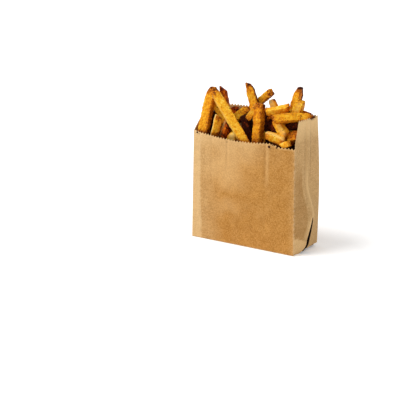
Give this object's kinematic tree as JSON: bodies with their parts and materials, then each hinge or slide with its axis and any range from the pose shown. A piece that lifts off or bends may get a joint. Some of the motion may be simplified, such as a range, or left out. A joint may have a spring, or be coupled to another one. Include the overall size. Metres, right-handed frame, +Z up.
{
  "type": "french fries in a paper bag",
  "caption": "Small kraft paper bag with a low toothed front lip and folded side gussets, filled with a loose heap of fried potato sticks that stand above the rim.",
  "frame": {"origin": "on the surface the bag stands on, under the middle of the bag", "axes": "+Z up, +X to the right along the front panel, -Y out of the low front panel"},
  "size_m": [0.1194, 0.0486, 0.1434],
  "materials": {
    "kraft_paper": "matte",
    "fried_potato": "satin"
  },
  "bodies": {
    "root": {"paper_bag": "kraft_paper", "fries": "fried_potato"}
  },
  "joints": []
}
